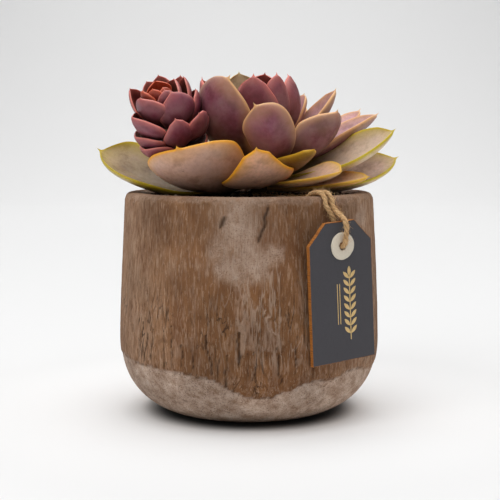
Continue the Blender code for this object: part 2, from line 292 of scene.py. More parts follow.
def buildSpeckle():
    # fine specks and a soft mottle: noise at two sizes, cut to specks by a threshold
    tree, n, given, out = newGroup("speckle", [("size", number, 700.0), ("amount", number, 0.5)],
                                   [("specks", number), ("mottle", number)])
    base = n.coords()
    scaled = n.add("ShaderNodeVectorMath", operation="SCALE")
    n.wire(base, scaled.inputs[0])
    n.wire(given["size"], scaled.inputs["Scale"])
    fine = n.noise(scaled.outputs[0], 1.0, 4.0, 0.7)
    soft = n.noise(scaled.outputs[0], 0.16, 3.0, 0.6)
    cut = n.minus(0.72, n.times(given["amount"], 0.16))
    specks = n.times(n.minus(fine, cut), 9.0, clamp=True)
    n.wire(specks, out["specks"])
    n.wire(soft, out["mottle"])
    return tree


speckle = buildSpeckle()


pot = dict(rim=110.0, wide=65.0, wideAt=36.0, top=61.8, foot=31.0, lip=2.6, wall=9.5, bottom=101,
           innerLip=3, lipBand=(106.4, 107.6), noiseHigh=112, around=448, innerRows=13, smoothRows=4,
           ledge=0.45, furrow=0.55, grain=0.10,
           # powers of the underside's oval and of the wall's taper, height where the inner wall ends
           oval=2.1, taper=1.35, innerEnd=104.0,
           # where the bark layer ends low on the pot: degrees from the front, height
           hem=[(-180, 26), (-150, 30), (-120, 24), (-95, 28), (-75, 31), (-52, 29), (-37, 28.7),
                (-25, 27.5), (-18, 26.5), (-13, 25), (-10, 21.5), (-4, 19), (5, 16.5), (14, 19.5),
                (22, 22.5), (31, 24.5), (41, 25), (52, 27.5), (70, 24), (95, 29), (120, 23), (150, 28),
                (180, 26)],
           # cracks: degrees and height at the top end, then at the low end, width, depth
           cracks=[(-4, 49, -4.5, 33, .9, .9), (-50, 52, -54, 31, .55, .6), (-47, 47, -50, 31, .5, .6),
                   (-44, 50, -45.5, 30, .6, .7), (-38, 46, -37, 29, .5, .5), (-34, 50, -33, 29, .6, .6),
                   (-28, 44, -29, 28, .4, .4), (-19, 48, -14, 26, .55, .6), (-24, 42, -22, 28, .4, .4),
                   (-9, 40, -10, 23, .5, .5), (2, 38, 3, 19, .4, .4), (12, 44, 13, 22, .4, .4),
                   (20, 50, 19, 24, .5, .5), (8.6, 107, 3.6, 88, 1.1, .8), (-9.5, 102, -12, 96, 1.6, .6),
                   (28, 40, 27, 25, .4, .4), (60, 60, 61, 30, .5, .5), (78, 52, 75, 27, .6, .6),
                   (110, 70, 112, 32, .6, .6), (140, 55, 138, 30, .6, .6), (-80, 60, -78, 33, .6, .6),
                   (-110, 75, -108, 30, .6, .6), (170, 50, 172, 30, .6, .6), (-145, 64, -147, 33, .6, .6)],
           # worn patches of pale clay: degrees, height, half width, half height
           patches=[(-5, 97, 8, 17), (-5, 79, 15, 10), (-12, 86, 7, 10), (9, 84, 6, 7), (95, 90, 10, 14),
                    (150, 80, 14, 10), (-130, 95, 10, 12), (-160, 70, 9, 16), (60, 100, 8, 6)])


def potProfile():
    # radius and height from the middle of the foot, round the belly, up the wall, over the lip and inside
    a = np.linspace(math.pi / 2, 0, 46)
    wide, foot, power = pot["wide"], pot["foot"], 2 / pot["oval"]
    r = [np.linspace(2, foot, 9)[:-1], foot + (wide - foot) * np.cos(a) ** power]
    z = [np.zeros(8), pot["wideAt"] * (1 - np.sin(a) ** power)]
    up = np.linspace(pot["wideAt"], pot["rim"] - pot["lip"], 104)[1:]
    share = (up - pot["wideAt"]) / (pot["rim"] - pot["wideAt"])
    r.append(wide + (pot["top"] - wide) * share ** pot["taper"])
    z.append(up)
    lipR = r[-1][-1] - pot["lip"]
    a = np.linspace(0, math.pi / 2, 15)[1:]
    r.append(lipR + pot["lip"] * np.cos(a))
    z.append(pot["rim"] - pot["lip"] + pot["lip"] * np.sin(a))
    inner, bend = pot["top"] - pot["wall"], pot["innerLip"]
    a = np.linspace(math.pi / 2, math.pi, 10)
    r.append(inner + bend + bend * np.cos(a))
    z.append(pot["rim"] - bend + bend * np.sin(a))
    r.append(np.array([inner, inner, inner * 0.6, 3]))
    z.append(np.array([pot["innerEnd"], pot["bottom"], pot["bottom"], pot["bottom"]]))
    return np.concatenate(r), np.concatenate(z)


def potFields(turn, z, side):
    # height of the surface and its colour masks, from the angle and the height: a bark layer with a
    # ragged hem, ridged grooves, long cracks, worn patches and pits; side is 1 outside and 0 inside
    front = ((turn * 360 + 90 + 180) % 360) - 180
    v = np.clip(z / pot["noiseHigh"], 0, 1)
    hemAt = np.interp(front, *np.array(pot["hem"], float).T) + swell(1.6, turn, v, 3, 90, 6)
    hemAt = hemAt + swell(1.0, turn, v, 4, 260, 12)
    bark = ease(z - hemAt, -0.25, 0.25)
    drift = swell(0.012, turn, v, 5, 24, 9) + swell(0.006, turn, v, 6, 70, 22)
    low = 1 - ease(z, 46, 82)
    ridge = 1 - np.abs(2 * lattice(turn + drift * 2, v, 7, 110, 4) - 1)
    ridgeFine = 1 - np.abs(2 * lattice(turn + drift * 1.5, v, 8, 220, 7) - 1)
    groove = .6 * ease(ridge, .90, 1) * low + .35 * ease(ridgeFine, .86, 1) * (.25 + .75 * low)
    grain = lattice(turn + drift, v, 9, 420, 26)
    flake = ease(lattice(turn + drift * 1.4, v, 10, 84, 13), .60, .74)
    middle = np.exp(-((front - 7) / 17) ** 2) * ease(z, 24, 40) * (1 - ease(z, 66, 82))
    crack = np.zeros_like(z)
    depth = np.zeros_like(z)
    wobble = swell(2.2, turn, v, 11, 60, 30) + swell(1.0, turn, v, 12, 160, 60)
    for degTop, top, degLow, bottom, wide, deep in pot["cracks"]:
        t = (top - z) / (top - bottom)
        at = degTop + (degLow - degTop) * np.clip(t, 0, 1)
        away = np.abs((front - at) * 1.13 + wobble * .8)
        taper = ease(t, -.02, .25) * (1 - ease(t, .75, 1.05))
        line = np.exp(-(away / np.maximum(wide * .7 * taper, .08)) ** 2) * (taper > .02)
        crack = np.maximum(crack, line)
        depth = np.maximum(depth, line * deep)
    worn = np.zeros_like(z)
    ragged = lattice(turn, v, 13, 60, 16) * .7 + lattice(turn, v, 14, 170, 44) * .5
    for deg, height, halfDeg, halfHigh in pot["patches"]:
        far = np.hypot((front - deg) / halfDeg, (z - height) / halfHigh)
        worn = np.maximum(worn, 1 - ease(far + (ragged - .6) * .80, .40, 1.15))
    worn = worn * (1 - crack)
    lip = ease(z + swell(2.6, turn, v, 15, 90, 4) + swell(2.0, turn, v, 16, 240, 8), *pot["lipBand"])
    lip = np.maximum(lip, 1 - side)
    clay = np.maximum(np.maximum(1 - bark, lip * (.28 + .72 * (1 - side))), worn * .5)
    pits = ease(lattice(turn, v, 17, 380, 100), .86, .97) * (.4 + .6 * clay)
    hemLine = np.exp(-((z - hemAt) / .42) ** 2) * ease(lattice(turn, v, 18, 40, 2), .25, .6)
    height = pot["ledge"] * bark * (1 - .6 * worn) * (1 - lip)
    height = height - pot["furrow"] * groove * bark * (1 - worn) * (1 - lip)
    height = height + pot["grain"] * (grain - .5) * bark - depth * bark - .35 * hemLine - .28 * pits
    height = height + .30 * middle * (flake - .4) + swell(.25, turn, v, 19, 22, 8)
    dark = np.clip(crack + .35 * groove * bark * (1 - worn) + .6 * hemLine + .4 * pits, 0, 1)
    pale = np.clip(.6 * middle * flake + .2 * flake * bark * low, 0, 1)
    # painted light: a lighter band on the pot's left and right sides as seen from the front, standing for
    # light from the sides
    edges = np.exp(-((np.abs(front) - 62) / 22) ** 2)
    flow = np.exp(-((front - 8) / 20) ** 2) * ease(z, 26, 40) * (1 - ease(z, 70, 86))
    haze = np.exp(-((front + 3) / 12) ** 2) * ease(z, 66, 84)
    return height, dict(clay=clay, dark=dark, pale=pale, edges=edges, flow=flow, haze=haze, low=low * bark)


def buildPot():
    # a turned wall: the profile carried round the axis, then moved along its own normal by the height field
    r, z = potProfile()
    along = np.stack([np.gradient(r), np.gradient(z)], 1)
    along /= np.linalg.norm(along, axis=1)[:, None]
    outward = np.stack([along[:, 1], -along[:, 0]], 1)
    turn = np.arange(pot["around"]) / pot["around"]
    angle = turn * tau
    outside = np.ones(len(r))
    outside[-pot["innerRows"]:] = 0
    radius, high, around, side = np.broadcast_arrays(r[:, None], z[:, None], turn[None], outside[:, None])
    height, fields = potFields(around, high, side)
    keep = ease(z, 0, 3)[:, None] * np.where(np.arange(len(r)) >= len(r) - pot["smoothRows"], 0, 1)[:, None]
    height = height * keep * np.where(outside > 0, 1, .5)[:, None] - .2 * keep
    radius = radius + height * outward[:, :1]
    high = np.minimum(high + height * outward[:, 1:], pot["rim"] + .2)
    verts = np.stack([radius * np.cos(angle), radius * np.sin(angle), high], -1).reshape(-1, 3)
    verts = np.concatenate([verts, [[0, 0, 0], [0, 0, pot["bottom"]]]])
    fields = {k: np.concatenate([v.reshape(-1), [0, 0]]) for k, v in fields.items()}
    return makeMesh("potBody", verts, ringFaces(len(r), len(turn)), potClay(), fields=fields)


def potClay():
    # streaks are noise stretched up the wall, veins and splits thin bands of it; the masks mix bark and clay
    mat, n, shader = newMaterial("weatheredPot", Roughness=0.9, Specular_IOR_Level=0.25)
    clay, dark, pale, edges, flow, haze, low = (n.field(k) for k in
                                                ("clay", "dark", "pale", "edges", "flow", "haze", "low"))
    grain = n.noise(n.coords((1, 1, .13)), 1150, 4, .62, .3)
    dashes = n.noise(n.coords((1, 1, .13)), 1300, 4, .64, .6)
    broad = n.noise(n.coords((1, 1, .45)), 70, 4, .6, .5)
    grit = n.noise(n.coords(), 1500, 3, .7)
    blotch = n.noise(n.coords(), 170, 6, .70, .2)
    veins = n.noise(n.coords((1, 1, .15)), 190, 3, .55, .5)
    veinLine = n.remap(n.math("ABSOLUTE", n.minus(veins, .5)), .040, .004)
    splits = n.noise(n.coords((1, 1, .16)), 170, 3, .6, .8)
    splitLine = n.remap(n.math("ABSOLUTE", n.minus(splits, .52)), .026, .003)
    spotsFine = useGroup(n, speckle, size=1300.0, amount=1.0)
    bark = n.mix(n.remap(broad, .30, .70), (108, 70, 42), (138, 97, 64))
    bark = n.mix(n.remap(grain, .46, .28, 0, .65), bark, (68, 43, 27))
    # pale streaks, which are the clay's own, plus painted light on the pot's left and right sides
    light = n.plus(n.remap(dashes, .53, .62, 0, .66),
                   n.times(edges, n.remap(grain, .40, .62, .2, .95)), clamp=True)
    light = n.times(light, n.remap(broad, .30, .60, .45, 1))
    bark = n.mix(light, bark, (170, 139, 114))
    vein = n.times(veinLine, n.plus(n.times(flow, .52), .16))
    bark = n.mix(vein, bark, (176, 150, 130))
    bark = n.mix(n.times(haze, n.remap(dashes, .35, .60, .25, .8)), bark, (158, 134, 116))
    bark = n.mix(n.times(pale, n.remap(grain, .35, .6)), bark, (160, 132, 112))
    split = n.times(splitLine, n.times(low, n.remap(broad, .46, .62, 0, .8)))
    base = n.mix(n.remap(blotch, .32, .66), (150, 122, 102), (196, 172, 154))
    base = n.mix(n.remap(blotch, .58, .70, 0, .6), base, (198, 182, 168))
    base = n.mix(n.remap(grit, .47, .33, 0, .7), base, (74, 53, 40))
    base = n.mix(n.remap(grit, .57, .68, 0, .6), base, (196, 178, 162))
    clayHere = n.times(clay, n.remap(blotch, .22, .46, .55, 1))
    lively = n.remap(n.noise(n.coords((1, 1, .7)), 28, 3, .6), .36, .64, .82, 1.12)
    skin = n.mix(clayHere, bark, base)
    skin = n.mix(n.times(spotsFine["specks"], .30), skin, (66, 46, 34))
    skin = n.mix(n.remap(grit, .68, .78, 0, .5), skin, (206, 184, 160))
    skin = n.mix(1.0, skin, lively, "MULTIPLY")
    deep = n.math("MAXIMUM", n.times(dark, .85), split)
    skin = n.mix(deep, skin, (38, 23, 14))
    relief = n.plus(n.times(grain, n.minus(1.1, clay)), n.times(vein, .8))
    relief = n.plus(relief, n.times(grit, .35))
    relief = n.minus(relief, n.times(split, .9))
    n.surface(shader, skin, n.bump(relief, 0.0006, .8), n.remap(grain, .3, .7, .82, .97))
    return mat


soil = dict(top=106.6, bottom=102, radius=51.6, across=130, around=220, rings=64, stones=1500, seed=21)


def buildSoil():
    # a disc whose height is three sizes of value noise, turned down at its edge
    reach = np.linspace(0.02, 1, soil["rings"])[:, None]
    turn = (np.arange(soil["around"]) / soil["around"])[None]
    r = reach * soil["radius"] + 0 * turn
    x, y = r * np.cos(turn * tau), r * np.sin(turn * tau)
    u, v = x / soil["across"] + .5, y / soil["across"] + .5
    z = soil["top"] + swell(1.1, u, v, 31, 16, 16) + swell(1.4, u, v, 32, 48, 48)
    z = z + swell(.9, u, v, 33, 120, 120) - 1.2 * ease(reach, .9, 1)
    rows = [np.stack([x, y, z], -1), np.stack([x[-1:], y[-1:], z[-1:] * 0 + soil["bottom"]], -1)]
    poles = [[0, 0, soil["top"]], [0, 0, soil["bottom"]]]
    verts = np.concatenate([np.concatenate(rows).reshape(-1, 3), poles])
    faces = [f[::-1] for f in ringFaces(soil["rings"] + 1, soil["around"])]
    mat, n, shader = newMaterial("pottingMix", Roughness=0.95, Specular_IOR_Level=0.2)
    spots = useGroup(n, speckle, size=900.0, amount=1.0)
    tone = n.mix(spots["mottle"], (30, 21, 16), (70, 52, 40))
    tone = n.mix(n.times(spots["specks"], .6), tone, (120, 100, 84))
    n.surface(shader, tone, n.bump(spots["mottle"], 0.0015, 1))
    return makeMesh("soilBed", verts, faces, mat)


def blobTemplate():
    # a ball of few faces: rings of a sphere with two poles
    rows, sides = 4, 7
    a = np.linspace(0, math.pi, rows + 2)[1:-1, None]
    b = (np.arange(sides) / sides * tau)[None]
    ball = np.stack([np.sin(a) * np.cos(b), np.sin(a) * np.sin(b), np.cos(a) + 0 * b], -1).reshape(-1, 3)
    ball = np.concatenate([ball, [[0, 0, 1], [0, 0, -1]]])
    return ball, [f[::-1] for f in ringFaces(rows, sides)]


def scatterBlobs(name, places, sizes, tones, seed, mat):
    # each stone is the ball stretched on three axes, bumped at each corner, turned, and set at its place
    rng = np.random.default_rng(seed)
    ball, faces = blobTemplate()
    count = len(places)
    stretch = rng.uniform(.6, 1.3, (count, 1, 3)) * sizes[:, None, None]
    shape = ball[None] * stretch * rng.uniform(.75, 1.2, (count, len(ball), 1))
    axes, _ = np.linalg.qr(rng.normal(size=(count, 3, 3)))
    axes[:, :, 0] *= np.sign(np.linalg.det(axes))[:, None]
    verts = np.einsum("nij,nkj->nki", axes, shape) + places[:, None]
    starts = range(0, count * len(ball), len(ball))
    allFaces = [[start + i for i in face] for start in starts for face in faces]
    return makeMesh(name, verts.reshape(-1, 3), allFaces, mat,
                    fields=dict(tone=np.repeat(tones, len(ball), axis=0)))


def buildGrit():
    # stones spread evenly over the soil, most of them small, in five tones from nearly black to pale
    rng = np.random.default_rng(soil["seed"])
    count = soil["stones"]
    r = soil["radius"] * np.sqrt(rng.random(count)) * .985
    a = rng.random(count) * tau
    x, y = r * np.cos(a), r * np.sin(a)
    sizes = rng.uniform(.45, 1.0, count) ** 1.6 * 1.9
    z = soil["top"] + .25 * sizes + rng.uniform(-.3, .6, count)
    tones = np.array([linear(24, 16, 12), linear(48, 34, 25), linear(112, 88, 66), linear(206, 190, 168),
                      linear(146, 118, 92)])
    pick = rng.choice(len(tones), count, p=[.26, .27, .19, .12, .16])
    mat, n, shader = newMaterial("grit", Roughness=0.92, Specular_IOR_Level=0.25)
    spots = useGroup(n, speckle, size=1500.0, amount=.8)
    tone = n.mix(n.times(spots["mottle"], .5), n.field("tone", True), (20, 14, 10))
    n.surface(shader, tone, n.bump(spots["mottle"], 0.0006, .8))
    return scatterBlobs("grit", np.stack([x, y, z], 1), sizes, tones[pick], 5, mat)


plant = dict(stemAt=(6.0, 2.0), sideAt=(-33.6, -10.0, 129.8), sideAxis=(-.28, -.43, .86), thickness=.74,
             # rings along a leaf, points round it, how far from the axis it starts, how much less for
             # each mm it sits higher up, the least that leaves, and the rosette's first seed
             main=dict(rows=58, sides=60, start=5.3, less=0, least=0, firstSeed=0),
             side=dict(rows=44, sides=48, start=3.6, less=.1, least=.8, firstSeed=60))

# finishes: face colour outside and inside, colour at the base, rim colour, rim width in mm, how far the
# base colour reaches, painted shade towards the base, bloom, scars
lookKeys = ("outside", "inside", "foot", "rim", "edge", "fade", "shade", "bloom", "scars")
leafLooks = dict(
    gold=((208, 168, 150), (196, 156, 128), (92, 58, 24), (236, 164, 38), 1.5, 1.0, .35, .34, .9),
    amber=((240, 190, 164), (214, 170, 134), (232, 184, 128), (238, 166, 36), 1.5, .5, .04, .14, .9),
    yellow=((236, 206, 188), (214, 184, 160), (92, 84, 18), (206, 184, 40), 1.6, .55, .35, .26, .5),
    moss=((176, 148, 104), (206, 176, 130), (50, 42, 5), (196, 174, 36), 2.0, 1.25, .35, .30, .4),
    olive=((108, 80, 22), (116, 92, 30), (62, 48, 4), (206, 160, 36), .9, .6, .35, .12, .3),
    peach=((240, 200, 170), (236, 194, 164), (222, 184, 134), (226, 178, 66), 1.3, .5, .04, .14, .4),
    lilac=((140, 82, 100), (210, 152, 162), (92, 46, 52), (238, 186, 132), 1.0, .6, .35, .30, .3),
    mauve=((134, 72, 90), (130, 62, 74), (62, 22, 26), (228, 176, 120), 1.5, .7, .35, .20, .25),
    wine=((140, 66, 78), (116, 38, 44), (70, 16, 18), (228, 128, 112), 1.0, .6, .35, .12, .2),
    bud=((130, 58, 78), (104, 20, 24), (50, 8, 12), (226, 134, 122), .7, .85, .5, .14, .2),
    heart=((140, 38, 28), (176, 60, 20), (84, 14, 6), (228, 112, 80), .7, .5, .35, .05, .2),
    pale=((200, 170, 130), (214, 188, 150), (140, 126, 64), (222, 200, 140), 1.0, .6, .35, .2, .3))
leafLooks = {key: dict(zip(lookKeys, row)) for key, row in leafLooks.items()}

# each leaf: azimuth, attach height, reach, tip height, width, belly, drift, cup, roll, thickness, widest at,
# blunt, finish
mainLeaves = dict(
    front=(-92.5, 5.8, 61, 23, 34, .26, 0, .25, 17, 4.5, .50, 1.0, "amber"),
    back_right_low=(47, 3, 64, 25, 28, .22, 0, .8, 0, 4.5, .7, 2.4, "yellow"),
    left=(180, 4, 83, 22, 40, .28, 0, .7, -28, 4.5, .78, 2.6, "moss"),
    front_right_low=(-30, 2.0, 61, 8.5, 17, .05, 0, .6, 28, 4.5, .6, 1.6, "peach"),
    back_low=(104, 3, 64, 22, 30, .22, 0, .8, 0, 4.5, .7, 2.4, "yellow"),
    front_left=(-126, 8, 67, 23.5, 49, .36, -.08, .8, 25, 4.5, .72, 2.6, "gold"),
    front_right=(-49, 4.2, 58, 11.5, 26, .05, 0, .6, 26, 4.5, .60, 1.6, "peach"),
    right_low=(6, 5, 71, 17.5, 36, .23, 0, .7, 27, 4.5, .64, 2.0, "yellow"),
    back_left_low=(148, 6, 72, 27, 30, .22, 0, .8, 0, 4.5, .7, 2.4, "pale"),
    right=(-13, 8, 68, 31.5, 36, .22, 0, .7, 28, 4.5, .66, 2.0, "yellow"),
    back_right=(75, 8, 62, 35, 30, .20, 0, .8, 0, 4.5, .7, 2.4, "yellow"),
    front_small=(-60, 8.5, 50, 22, 20, .10, 0, .8, 0, 4.5, .45, 1.1, "olive"),
    back_left=(125, 9, 60, 34, 34, .22, 0, .8, 0, 4.5, .7, 2.4, "yellow"),
    right_high=(16, 12, 64, 40, 24, .13, 0, .9, 4, 4.5, .68, 2.2, "lilac"),
    right_far=(44, 10, 77, 43, 19, .14, 0, .8, 0, 4.5, .7, 2.4, "lilac"),
    inner_front=(-95.5, 13, 44, 43.5, 25.5, .32, .36, .9, 16, 4.5, .72, 3.0, "mauve"),
    inner_right=(-27, 14, 42, 41, 32, .32, .08, 1.0, -16, 4.5, .66, 2.2, "lilac"),
    inner_front_left=(-114, 15, 36, 57, 37, .34, -.44, .9, -20, 4.5, .72, 2.6, "mauve"),
    upper_right=(2, 18, 38, 52, 24, .22, 0, .9, 14, 4.0, .62, 1.5, "lilac"),
    upper_right_far=(36, 20, 28, 50, 20, .16, 0, .9, 0, 4.0, .66, 2.2, "lilac"),
    upper_front=(-100, 19, 22, 58, 30, .30, 0, 1.0, 0, 4.0, .58, 1.3, "wine"),
    heart_right=(-8, 24, 13, 59, 23, .46, 0, 1.0, 0, 4.0, .68, 2.4, "wine"),
    heart_front=(-64, 21, 17, 59, 19, .32, 0, 1.0, 0, 4.0, .6, 1.6, "wine"),
    heart_back=(75, 23, 8, 60, 26, .34, .1, .7, 0, 4.0, .72, 3.2, "wine"),
    upper_back_left=(118, 21, 24, 61.5, 24, .26, 0, 1.0, 0, 4.0, .7, 3.2, "pale"),
    mid_back_left=(142, 14, 44, 46, 20, .22, 0, .9, 0, 4.5, .7, 2.4, "lilac"),
    mid_back=(102, 14, 46, 44, 22, .22, 0, .9, 0, 4.5, .7, 2.4, "lilac"),
    mid_back_right=(62, 14.5, 46, 46, 20, .22, 0, .9, 0, 4.5, .7, 2.4, "lilac"),
    upper_back=(84, 18.5, 31, 53, 20, .26, 0, .9, 0, 4.0, .68, 2.2, "wine"),
    upper_left=(165, 17, 31, 58, 24, .30, 0, 1.0, 0, 4.0, .7, 2.4, "wine"),
)

sideLeaves = dict(
    skirt_front_left=(-122, 5, 23, 16, 21, .38, 0, .9, 0, 2.8, .66, 2.0, "bud"),
    skirt_back=(113, 6, 20, -1, 20, .36, 0, .9, 0, 2.8, .66, 2.0, "mauve"),
    skirt_right=(36, 7, 16, 1, 16, .36, 0, .9, 0, 2.8, .66, 2.0, "mauve"),
    low_front_left=(-134, 9, 22, 22, 22, .38, 0, .9, -10, 2.8, .66, 2.0, "bud"),
    low_front=(-71, 7, 22, 28, 18, .46, 0, 1., 0, 2.6, .56, 1.4, "bud"),
    low_back_left=(142, 10, 24, 14, 16, .36, 0, .9, 0, 2.8, .66, 2.0, "mauve"),
    low_right=(-40, 8, 23, 25, 21, .42, .1, .9, 0, 2.6, .60, 1.5, "bud"),
    mid_left=(-132, 12, 20, 32, 26, .38, 0, 1., -18, 2.8, .66, 2.0, "bud"),
    mid_back=(92, 13, 26, 17, 16, .36, 0, .9, 0, 2.8, .66, 2.0, "mauve"),
    mid_front=(-59, 13, 14, 38, 22, .50, .1, 1., 0, 2.6, .64, 1.8, "bud"),
    upper_left=(-120, 16.5, 14, 39, 23, .36, 0, 1., -10, 2.6, .66, 2.0, "bud"),
    upper_back_left=(160, 15, 15, 38, 15, .40, 0, .9, 0, 2.6, .66, 2.0, "bud"),
    upper_right=(18, 16, 17, 28, 13, .40, 0, .9, 0, 2.6, .66, 2.0, "bud"),
    inner_right=(40, 23, 10, 36, 18, .40, 0, 1., 0, 2.4, .66, 2.0, "bud"),
    inner_back_right=(60, 18, 19, 33, 13, .34, 0, .9, 0, 2.4, .66, 2.0, "bud"),
    inner_back=(94, 20, 17, 36, 13, .36, 0, .9, 0, 2.4, .66, 2.0, "bud"),
    inner_back_left=(122, 23, 12, 37, 12, .34, 0, .9, 0, 2.4, .66, 2.0, "bud"),
    heart_left=(-146, 24, 8, 39, 13, .36, 0, .9, 0, 2.2, .66, 2.0, "heart"),
    heart_back=(103, 25, 5, 38, 14, .40, 0, .9, 0, 2.2, .66, 2.4, "heart"),
    heart_front=(-103, 25, 6, 39, 12, .36, 0, .9, 0, 2.0, .6, 1.4, "heart"),
    heart_right=(-44, 26, 4, 37, 11, .36, 0, .9, 0, 2.0, .6, 1.4, "heart"),
)

# leaves with no body of their own: they close gaps in the side rosette and in the main heart
sideExtras = dict(
    gap_low=(-40, 5, 20, 8, 18, .40, 0, .9, 0, 2.6, .64, 1.8, "bud"),
    gap_front=(-20, 8, 21, 19, 19, .42, 0, .9, 0, 2.6, .62, 1.6, "bud"),
    gap_right=(8, 12, 17, 30, 19, .42, 0, .9, 0, 2.6, .62, 1.6, "bud"),
    gap_tall=(28, 15, 14, 36, 17, .42, 0, .9, 0, 2.4, .62, 1.6, "bud"),
    gap_heart=(-62, 20, 9, 38, 15, .42, 0, 1., 0, 2.2, .60, 1.5, "bud"),
)
mainExtras = dict(
    tuck_left=(-168, 24, 9, 54, 18, .36, 0, 1.0, 0, 3.4, .64, 1.8, "wine"),
    tuck_back=(38, 26, 8, 53, 16, .36, 0, 1.0, 0, 3.2, .62, 1.6, "wine"),
    tuck_front=(-112, 26, 7, 51, 15, .36, 0, 1.0, 0, 3.2, .62, 1.6, "wine"),
    tuck_inner=(140, 28, 4, 49, 12, .34, 0, 1.0, 0, 2.6, .60, 1.5, "heart"),
    tuck_core=(-30, 28, 3, 48, 10, .34, 0, 1.0, 0, 2.6, .60, 1.5, "heart"),
)


def leafOutline(t, wide, blunt):
    # half width along the leaf, 0..1: a sine up to the widest point, a blunt fall and a small spike
    u = np.clip(t / .965, 0, 1)
    grow = .30 + .70 * np.sin(np.clip(u / wide, 0, 1) * math.pi / 2) ** 1.3
    fall = np.maximum(1 - np.clip((u - wide) / (1 - wide), 0, 1) ** blunt, 0) ** .75
    spike = .30 * np.clip((1 - t) / .10, 0, 1) ** 1.5
    return np.hypot(np.where(u < wide, grow, fall), spike)


def leafSurface(base, tip, up, row, rows, sides, seed):
    # a spine bent like a bow from base to tip; across it an arc as wide as the outline, curled by the
    # cup angle, with the upper and lower skins set off from it by a lens-shaped thickness
    width, belly, drift, cup, roll, thick, wide, blunt = row
    chord = tip - base
    length = np.linalg.norm(chord)
    chord = chord / length
    side = unit(np.cross(up, chord))
    down = -np.cross(chord, side)
    mid = (base + tip) / 2 + (down * belly + side * drift) * length
    t = 1 - (1 - np.linspace(0, 1, rows)) ** 1.45
    q = t[:, None]
    spine = (1 - q) ** 2 * base + 2 * q * (1 - q) * mid + q ** 2 * tip
    ahead = unit(2 * (1 - q) * (mid - base) + 2 * q * (tip - mid))
    flat = unit(side - (ahead @ side)[:, None] * ahead)
    face = np.cross(ahead, flat)
    lean = (math.radians(roll) * t ** .5)[:, None]
    across = flat * np.cos(lean) + face * np.sin(lean)
    normal = face * np.cos(lean) - flat * np.sin(lean)
    half = (width / 2 * leafOutline(t, wide, blunt))[:, None]
    bend = (cup * (.5 + .5 * np.sin(np.clip(t / .75, 0, 1) * math.pi / 2)))[:, None]
    psi = np.arange(sides) / sides * tau
    s = (np.sign(np.cos(psi)) * np.abs(np.cos(psi)) ** .85)[None]
    k = np.sin(psi)[None]
    body = np.interp(t, [0, .12, .5, .85, .95, 1], [.75, .9, 1, .72, .42, .12])[:, None]
    fullness = np.where(k > 0, .3, .7) * np.sign(k) * np.abs(k) ** .8
    skin = thick * plant["thickness"] * body * fullness * np.minimum(1, half / 2)
    rng = np.random.default_rng(seed)
    sway = rng.uniform(-1, 1, 4)
    wave = sway[0] * np.sin(t * 9 + sway[1] * 3) * .018 + sway[2] * np.sin(t * 17 + sway[3] * 3) * .008
    wave = wave[:, None] * width * np.abs(s) ** 2.5 * np.sin(q * math.pi)
    crease = -.035 * width * np.exp(-(s / .16) ** 2) * np.sin(q * math.pi) * (.4 + .6 * q)
    angle = bend * s
    lateral = half * np.sin(angle) / bend - np.sin(angle) * skin
    lift = half * (1 - np.cos(angle)) / bend + np.cos(angle) * skin + wave + crease
    rings = spine[:, None] + across[:, None] * lateral[..., None] + normal[:, None] * lift[..., None]
    verts = np.concatenate([rings.reshape(-1, 3), [spine[0]], [tip + ahead[-1] * .5]])
    toEdge = half * (1 - np.abs(s)) + .55 * np.abs(k) * thick * .3 * body
    toEdge = np.minimum(toEdge, (1 - q) * length * .9 + .2 + 0 * s)

    def full(x, first, last):
        # one value for each vertex: the rings, then the two poles
        return np.concatenate([np.broadcast_to(x, (rows, sides)).reshape(-1), [first, last]])
    return verts, full(q, 0, 1), full(k, 0, 0), full(toEdge, 2, 0)


def leafTints(finish, t, k, toEdge, seed):
    # colours over the leaf: outside or inside face, greener or darker base colour and painted shade towards
    # the base, and a warm rim along the margin with a glow beside it
    look = leafLooks[finish]
    rng = np.random.default_rng(seed + 500)
    shift = 1 + rng.uniform(-.07, .07, 3) * .6 + rng.uniform(-.08, .08)
    inner = ease(k, -.15, .15)[:, None]
    tint = linear(*look["outside"]) * (1 - inner) + linear(*look["inside"]) * inner
    base = (1 - ease(t, .10, look["fade"] + .1 * rng.uniform(-1, 1)))[:, None]
    tint = tint * (1 - base) + linear(*look["foot"]) * base
    # painted shade: the tint darker towards the base, where the leaves sit in each other's shade
    tint = tint * shift * (1 - look["shade"] * (1 - ease(t, 0, .7)))[:, None]
    width = look["edge"] * (.55 + .65 * ease(t, .25, .9))
    rim = 1 - ease(toEdge, width * .2, width * 1.7)
    rim = rim * ease(t, .08, .4)
    glow = (1 - ease(toEdge, width, width * 5.4)) * .36
    return dict(tint=tint, rim=np.clip(rim, 0, 1), glow=glow)


